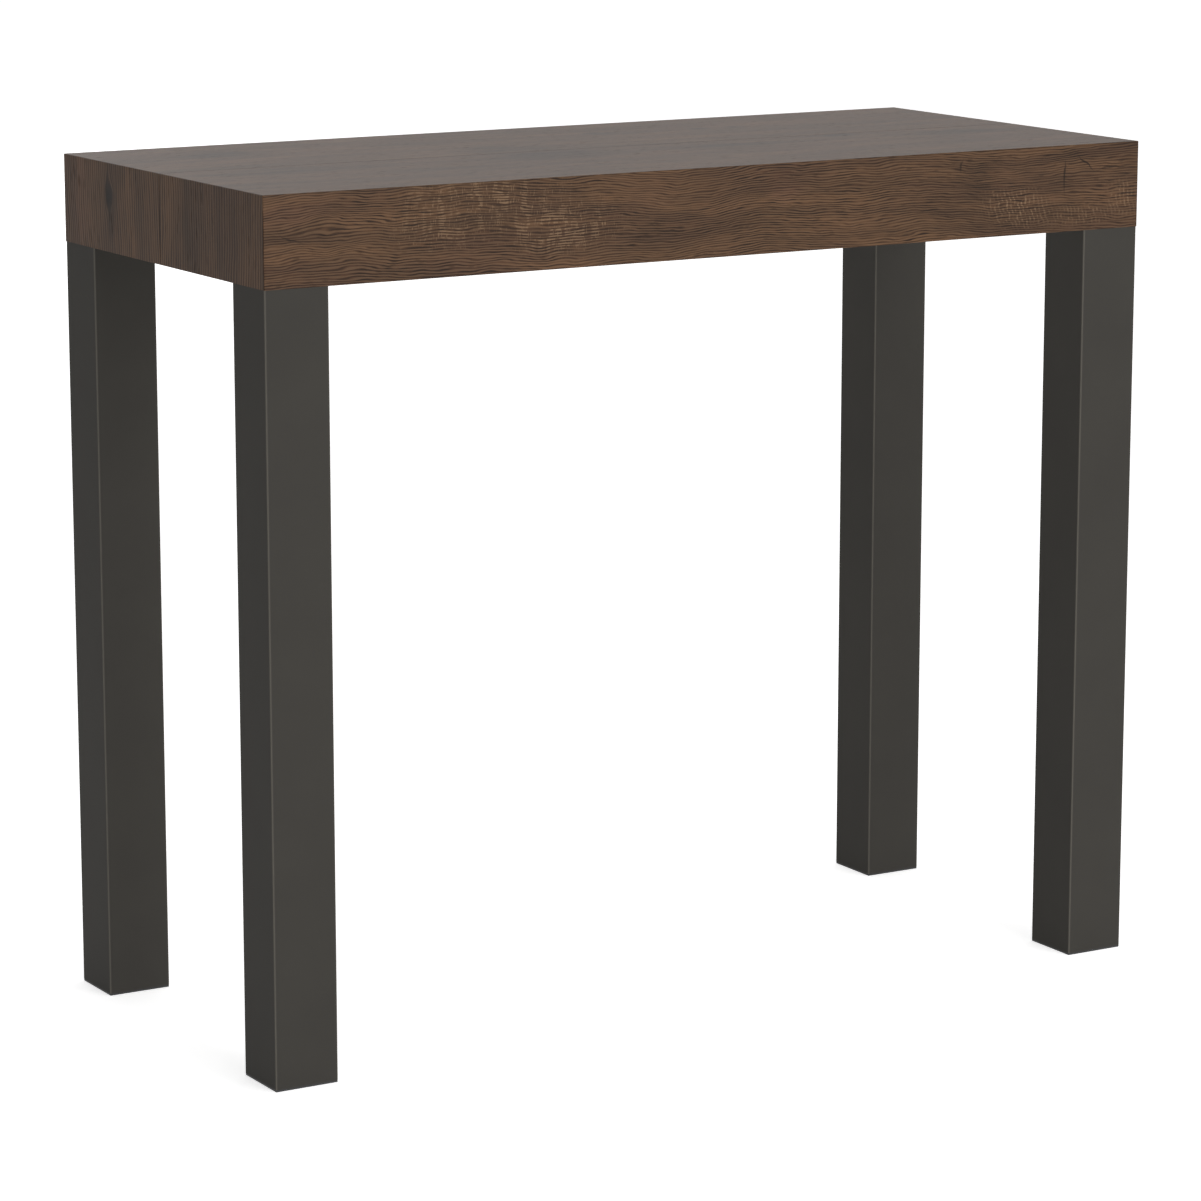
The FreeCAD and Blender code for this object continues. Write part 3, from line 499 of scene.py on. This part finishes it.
def zincPlatedSteel():
    material, tree = newMaterial("zincPlatedSteel")
    coords = addNode(tree, "ShaderNodeTexCoord", out="Object")
    cloud = addNode(tree, "ShaderNodeTexNoise", {
        "Vector": coords, "Scale": mmPerMetre / zincPlate["cloudSize"],
        "Detail": zincPlate["cloudDetail"]})
    colour = addNode(tree, "ShaderNodeMix", {
        0: cloud, 6: linearColour(zincPlate["cloudColour"]), 7: linearColour(zincPlate["colour"])},
        out=2, data_type="RGBA")
    rough = addNode(tree, "ShaderNodeMath", {
        0: cloud, 1: zincPlate["roughSpan"], 2: zincPlate["roughness"] - zincPlate["roughSpan"] / 2},
        operation="MULTIPLY_ADD")
    shader = addNode(tree, "ShaderNodeBsdfPrincipled", {
        "Base Color": colour, "Metallic": 1.0, "Roughness": rough})
    addNode(tree, "ShaderNodeOutputMaterial", {"Surface": shader})
    return material


# Black nylon: moulded with a fine spark texture, so it looks dull and even
nylonSkin = {
    "colour": "#1b1b1c", "sparkSize": 0.8, "sparkDepth": 0.1, "sparkStrength": 0.2,
    "roughness": 0.5, "roughSpan": 0.2,
}


def blackNylon():
    material, tree = newMaterial("blackNylon")
    coords = addNode(tree, "ShaderNodeTexCoord", out="Object")
    spark = addNode(tree, "ShaderNodeTexNoise", {
        "Vector": coords, "Scale": mmPerMetre / nylonSkin["sparkSize"]})
    rough = addNode(tree, "ShaderNodeMath", {
        0: spark, 1: nylonSkin["roughSpan"], 2: nylonSkin["roughness"] - nylonSkin["roughSpan"] / 2},
        operation="MULTIPLY_ADD")
    bump = addNode(tree, "ShaderNodeBump", {
        "Height": spark, "Strength": nylonSkin["sparkStrength"],
        "Distance": nylonSkin["sparkDepth"] / mmPerMetre})
    shader = addNode(tree, "ShaderNodeBsdfPrincipled", {
        "Base Color": linearColour(nylonSkin["colour"]), "Roughness": rough, "Normal": bump})
    addNode(tree, "ShaderNodeOutputMaterial", {"Surface": shader})
    return material


# Beech: turned along Y and left bare, pale pink brown with short darker flecks
beechRod = {
    "colour": "#c9a07a", "fleckColour": "#a97c57", "fleckStops": (0.40, 0.55),
    "fleckWidth": 0.7, "fleckLength": 5.0, "fleckDepth": 0.1, "fleckStrength": 0.2, "roughness": 0.62,
}


def bareBeech():
    material, tree = newMaterial("bareBeech")
    coords = addNode(tree, "ShaderNodeTexCoord", out="Object")
    width, length = (mmPerMetre / beechRod[name] for name in ("fleckWidth", "fleckLength"))
    drawn = addNode(tree, "ShaderNodeMapping", {"Vector": coords, "Scale": (width, length, width)})
    flecks = addNode(tree, "ShaderNodeTexNoise", {"Vector": drawn, "Scale": 1.0})
    tones = [beechRod["fleckColour"], beechRod["colour"]]
    colour = setStops(addNode(tree, "ShaderNodeValToRGB", {"Fac": flecks}),
                      list(zip(beechRod["fleckStops"], tones)))
    bump = addNode(tree, "ShaderNodeBump", {
        "Height": flecks, "Strength": beechRod["fleckStrength"],
        "Distance": beechRod["fleckDepth"] / mmPerMetre})
    shader = addNode(tree, "ShaderNodeBsdfPrincipled", {
        "Base Color": colour, "Roughness": beechRod["roughness"], "Normal": bump})
    addNode(tree, "ShaderNodeOutputMaterial", {"Surface": shader})
    return material


finishes = {"leg_powder_coat": powderCoat(), "anodised_aluminium": anodisedAluminium(),
            "zinc_steel": zincPlatedSteel(), "black_nylon": blackNylon(), "beech": bareBeech()}
for part in frame["record"]["subparts"]:
    name = part["node"]
    material = oakDecor(name, boards[name]) if name in boards else finishes[part["material_slot"]]
    nodes[name].data.materials.clear()
    nodes[name].data.materials.append(material)
print("materials set")

# Screws and bolts: a turned outline, a drive recess cut in the head, set on every seat.
# Outline points are shares of (head radius, shank radius, head height, shank length), from the tip up.
panOutline = [
    (0, 0, 0, -1), (0, 0.5, 0, -0.93), (0, 1, 0, -0.8), (0, 1, 0, 0), (1, 0, 0, 0), (1, 0, 0.45, 0),
    (0.95, 0, 0.72, 0), (0.82, 0, 0.9, 0), (0.6, 0, 1, 0), (0, 0, 1, 0)]
socketOutline = [
    (0, 0, 0, -1), (0, 0.8, 0, -1), (0, 1, 0, -0.95), (0, 1, 0, 0), (1, 0, 0, 0), (1, 0, 0.92, 0),
    (0.94, 0, 1, 0), (0, 0, 1, 0)]
turning = {
    "sides": 24,
    "sharpAngle": 0.6,     # radians: a sharper edge isn't shaded smooth
    "headShare": 0.98,     # points past this share of the greatest radius are on the head
}


def buildFastenerTree(name, outline, crossDrive):
    tree = bpy.data.node_groups.new(name, "GeometryNodeTree")
    tree.interface.new_socket("Geometry", in_out="INPUT", socket_type="NodeSocketGeometry")
    for label in ("Head Radius", "Shank Radius", "Head Height", "Shank Length", "Drive Width",
                  "Drive Blade", "Drive Depth"):
        tree.interface.new_socket(label, in_out="INPUT", socket_type="NodeSocketFloat")
    tree.interface.new_socket("Finish", in_out="INPUT", socket_type="NodeSocketMaterial")
    tree.interface.new_socket("Geometry", in_out="OUTPUT", socket_type="NodeSocketGeometry")
    given = addNode(tree, "NodeGroupInput").node.outputs

    # a grid rolled round the axis: its X counts outline points, its Y counts sides
    steps = len(outline) - 1
    grid = addNode(tree, "GeometryNodeMeshGrid", {
        "Size X": steps, "Size Y": 1.0, "Vertices X": len(outline), "Vertices Y": turning["sides"] + 1})
    spot = addNode(tree, "GeometryNodeInputPosition")
    flat = addNode(tree, "ShaderNodeSeparateXYZ", {0: spot}).node.outputs
    step = addNode(tree, "ShaderNodeMath", {0: flat["X"], 1: steps / 2}, operation="ADD")
    step = addNode(tree, "ShaderNodeMath", {0: step}, operation="ROUND")
    angle = addNode(tree, "ShaderNodeMath", {0: flat["Y"], 1: 2 * math.pi}, operation="MULTIPLY")
    headSize = addNode(tree, "ShaderNodeCombineXYZ", {
        "X": given["Head Radius"], "Z": given["Head Height"]})
    shankSize = addNode(tree, "ShaderNodeCombineXYZ", {
        "X": given["Shank Radius"], "Z": given["Shank Length"]})
    profile = addNode(tree, "GeometryNodeIndexSwitch", {"Index": step}, data_type="VECTOR").node
    for number, (head, shank, rise, drop) in enumerate(outline):
        if number >= len(profile.index_switch_items):
            profile.index_switch_items.new()
        point = addNode(tree, "ShaderNodeVectorMath", {0: shankSize, 1: (shank, 0, drop)},
                        operation="MULTIPLY")
        point = addNode(tree, "ShaderNodeVectorMath", {0: headSize, 1: (head, 0, rise), 2: point},
                        operation="MULTIPLY_ADD")
        tree.links.new(point, profile.inputs[number + 1])
    rolled = addNode(tree, "ShaderNodeVectorRotate", {"Vector": profile.outputs[0], "Angle": angle},
                     rotation_type="Z_AXIS")
    turned = addNode(tree, "GeometryNodeSetPosition", {"Geometry": grid, "Position": rolled})
    turned = addNode(tree, "GeometryNodeMergeByDistance", {"Geometry": turned, "Distance": samePoint})

    # the drive stands on the recess floor and reaches as far out past the head
    reach = addNode(tree, "ShaderNodeMath", {0: given["Drive Depth"], 1: 2.0}, operation="MULTIPLY")
    if crossDrive:
        drive = addNode(tree, "GeometryNodeMeshBoolean", operation="UNION", solver="EXACT")
        for long, short in (("X", "Y"), ("Y", "X")):
            size = addNode(tree, "ShaderNodeCombineXYZ", {
                long: given["Drive Width"], short: given["Drive Blade"], "Z": reach})
            blade = addNode(tree, "GeometryNodeMeshCube", {"Size": size})
            tree.links.new(blade, drive.node.inputs["Mesh 2"])
    else:
        corner = addNode(tree, "ShaderNodeMath", {0: given["Drive Width"], 1: math.sqrt(3)},
                         operation="DIVIDE")
        drive = addNode(tree, "GeometryNodeMeshCylinder", {
            "Vertices": 6, "Radius": corner, "Depth": reach})
    lift = addNode(tree, "ShaderNodeCombineXYZ", {"Z": given["Head Height"]})
    drive = addNode(tree, "GeometryNodeTransform", {"Geometry": drive, "Translation": lift})
    driven = addNode(tree, "GeometryNodeMeshBoolean", {"Mesh 1": turned, "Mesh 2": drive},
                     operation="DIFFERENCE", solver="EXACT")
    driven = addNode(tree, "GeometryNodeSetShadeSmooth", {"Geometry": driven, "Shade Smooth": True})
    bend = addNode(tree, "GeometryNodeInputMeshEdgeAngle")
    sharp = addNode(tree, "FunctionNodeCompare", {0: bend, 1: turning["sharpAngle"]},
                    operation="GREATER_THAN")
    driven = addNode(tree, "GeometryNodeSetShadeSmooth", {
        "Geometry": driven, "Selection": sharp, "Shade Smooth": False}, domain="EDGE")

    aim = addNode(tree, "GeometryNodeInputNamedAttribute", {"Name": "aim"}, data_type="FLOAT_VECTOR")
    rotation = addNode(tree, "FunctionNodeAlignRotationToVector", {"Vector": aim}, axis="Z")
    placed = addNode(tree, "GeometryNodeInstanceOnPoints", {
        "Points": given["Geometry"], "Instance": driven, "Rotation": rotation})
    placed = addNode(tree, "GeometryNodeRealizeInstances", {"Geometry": placed})
    placed = addNode(tree, "GeometryNodeSetMaterial", {"Geometry": placed, "Material": given["Finish"]})
    addNode(tree, "NodeGroupOutput", {"Geometry": placed})
    return tree


# the separate solids of a node, each as its points
def solidsOf(name):
    shape = bmesh.new()
    shape.from_mesh(nodes[name].data)
    bmesh.ops.remove_doubles(shape, verts=shape.verts, dist=samePoint)
    seen = set()
    solids = []
    for first in shape.verts:
        if first in seen:
            continue
        seen.add(first)
        found = [first]
        for vert in found:
            for edge in vert.link_edges:
                other = edge.other_vert(vert)
                if other not in seen:
                    seen.add(other)
                    found.append(other)
        solids.append([vert.co.copy() for vert in found])
    shape.free()
    return solids


# seat, direction of the head and the four sizes of a plain turned fastener
def readFastener(points):
    low = Vector(min(point[i] for point in points) for i in range(3))
    high = Vector(max(point[i] for point in points) for i in range(3))
    axis = max(range(3), key=lambda i: high[i] - low[i])
    others = [i for i in range(3) if i != axis]
    middle = (low + high) / 2
    levels = [point[axis] for point in points]
    radii = [math.hypot(*(point[i] - middle[i] for i in others)) for point in points]
    headRadius = max(radii)
    head = [level for level, radius in zip(levels, radii) if radius > headRadius * turning["headShare"]]
    sign = 1 if sum(head) / len(head) > middle[axis] else -1
    seatLevel = min(head) if sign > 0 else max(head)
    tipLevel, topLevel = (low[axis], high[axis]) if sign > 0 else (high[axis], low[axis])
    shankRadius = max(radius for level, radius in zip(levels, radii) if abs(level - tipLevel) < samePoint)
    seat = middle.copy()
    seat[axis] = seatLevel
    aim = Vector((0, 0, 0))
    aim[axis] = sign
    return seat, aim, {
        "Head Radius": headRadius, "Shank Radius": shankRadius,
        "Head Height": abs(topLevel - seatLevel), "Shank Length": abs(seatLevel - tipLevel)}


# drive sizes in mm; a hexagon socket has no blade
fasteners = {
    "bracket_screws": {
        "outline": panOutline, "cross": True,
        "Drive Width": 3.8, "Drive Blade": 0.9, "Drive Depth": 1.3},
    "rail_screws": {
        "outline": panOutline, "cross": True,
        "Drive Width": 4.4, "Drive Blade": 1.0, "Drive Depth": 1.4},
    "leg_bolts": {
        "outline": socketOutline, "cross": False,
        "Drive Width": 5.0, "Drive Blade": 0.0, "Drive Depth": 3.0},
}


def setFasteners(kind, half, tree):
    node = f"{half}_{kind}"
    read = [readFastener(points) for points in solidsOf(node)]
    mesh = bpy.data.meshes.new(node + ".seats")
    mesh.from_pydata([seat for seat, aim, sizes in read], [], [])
    aims = mesh.attributes.new("aim", "FLOAT_VECTOR", "POINT")
    for number, (seat, aim, sizes) in enumerate(read):
        aims.data[number].vector = aim
    piece = bpy.data.objects.new(node + ".turned", mesh)
    scene.collection.objects.link(piece)
    values = dict(read[0][2])
    for label, size in fasteners[kind].items():
        if label.startswith("Drive"):
            values[label] = size / mmPerMetre
    values["Finish"] = finishes["zinc_steel"]
    modifier = piece.modifiers.new("fasteners", "NODES")
    modifier.node_group = tree
    for item in tree.interface.items_tree:
        if item.in_out == "INPUT" and item.name in values:
            modifier[item.identifier] = values[item.name]
    evaluated = piece.evaluated_get(bpy.context.evaluated_depsgraph_get())
    piece.data = bpy.data.meshes.new_from_object(evaluated)
    piece.modifiers.clear()
    bpy.data.meshes.remove(mesh)
    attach(piece, bodyOf[node])
    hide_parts(node)
    print(piece.name, len(read), "pieces,", len(piece.data.polygons), "faces")


for kind, values in fasteners.items():
    fastenerTree = buildFastenerTree(kind, values["outline"], values["cross"])
    for half in ("front", "rear"):
        setFasteners(kind, half, fastenerTree)
print("fasteners set")

# Studio: pale floor that glows a little, a pale room that is dark on the left to shape the legs,
# a broad soft box in front, a weaker one behind and a small one over the top. Metres and watts.
studio = {
    "roomColour": "#ffffff",
    "wall": 0.97,                   # strength of the room's light from the side
    "ceiling": 0.5,                 # and from above
    "wallTop": (0.05, 0.7),         # how far upward a direction points where wall ends and ceiling starts
    "darkWay": (-1.0, 0.0, 0.0),    # direction of the dark side
    "darkShare": 0.08,              # strength that is left there
    "darkRim": (-0.15, 0.42),       # how far a direction points that way where dark starts and is full
    "floorColour": "#f5f5f5",
    "floorGlow": 0.74,
    "floorRoughness": 0.9,
    "floorSize": 80.0,
    "lamps": {
        "frontBox": {"place": (2.0, -8.0, 2.1), "size": 6.6, "power": 410.0},
        "backBox": {"place": (0.9, 8.0, 2.1), "size": 2.8, "power": 115.0},
        "topBox": {"place": (0.0, 0.0, 2.2), "size": 1.4, "power": 12.8},
    },
}


def buildStudio():
    world = bpy.data.worlds.new("studioRoom")
    world.use_nodes = True
    world.node_tree.nodes.clear()
    sky = world.node_tree
    way = addNode(sky, "ShaderNodeTexCoord", out="Generated")
    upward = addNode(sky, "ShaderNodeSeparateXYZ", {0: way}, out="Z")
    sideways = addNode(sky, "ShaderNodeVectorMath", {0: way, 1: studio["darkWay"]}, out="Value",
                       operation="DOT_PRODUCT")
    level = addNode(sky, "ShaderNodeMapRange", {
        "Value": upward, "From Min": studio["wallTop"][0], "From Max": studio["wallTop"][1],
        "To Min": studio["wall"], "To Max": studio["ceiling"]})
    level = addNode(sky, "ShaderNodeMapRange", {
        "Value": sideways, "From Min": studio["darkRim"][1], "From Max": studio["darkRim"][0],
        "To Min": studio["darkShare"], "To Max": level}, interpolation_type="SMOOTHSTEP")
    seen = addNode(sky, "ShaderNodeLightPath", out="Is Camera Ray")    # the dark side itself is never seen
    level = addNode(sky, "ShaderNodeMath", {0: level, 1: seen}, operation="MAXIMUM")
    light = addNode(sky, "ShaderNodeBackground", {
        "Color": linearColour(studio["roomColour"]), "Strength": level})
    addNode(sky, "ShaderNodeOutputWorld", {"Surface": light})
    scene.world = world

    mesh = bpy.data.meshes.new("studioFloor")
    shape = bmesh.new()
    bmesh.ops.create_grid(shape, x_segments=1, y_segments=1, size=studio["floorSize"] / 2)
    shape.to_mesh(mesh)
    shape.free()
    floor = bpy.data.objects.new("studioFloor", mesh)
    scene.collection.objects.link(floor)
    material, tree = newMaterial("paleFloor")
    colour = linearColour(studio["floorColour"])
    shader = addNode(tree, "ShaderNodeBsdfPrincipled", {
        "Base Color": colour, "Roughness": studio["floorRoughness"], "Emission Color": colour,
        "Emission Strength": studio["floorGlow"]})
    addNode(tree, "ShaderNodeOutputMaterial", {"Surface": shader})
    mesh.materials.append(material)

    for name, values in studio["lamps"].items():
        lamp = bpy.data.lights.new(name, "AREA")
        lamp.size = values["size"]
        lamp.energy = values["power"]
        light = bpy.data.objects.new(name, lamp)
        light.location = values["place"]
        light.rotation_euler = (light.location - tableMiddle).to_track_quat("Z", "Y").to_euler()
        scene.collection.objects.link(light)


buildStudio()

# Camera at the photograph's viewing angle
cameraView = {
    "place": (-2.095, -3.521, 1.176),    # metres
    "turn": 30.65, "tilt": 11.41,        # degrees
    "lens": 134.97, "sensor": 36.0,      # mm
}
camera = bpy.data.objects.new("photoCamera", bpy.data.cameras.new("photoCamera"))
camera.data.lens = cameraView["lens"]
camera.data.sensor_width = cameraView["sensor"]
camera.location = cameraView["place"]
camera.rotation_euler = (math.radians(90 - cameraView["tilt"]), 0.0, math.radians(-cameraView["turn"]))
scene.collection.objects.link(camera)
scene.camera = camera
print("studio and camera set")
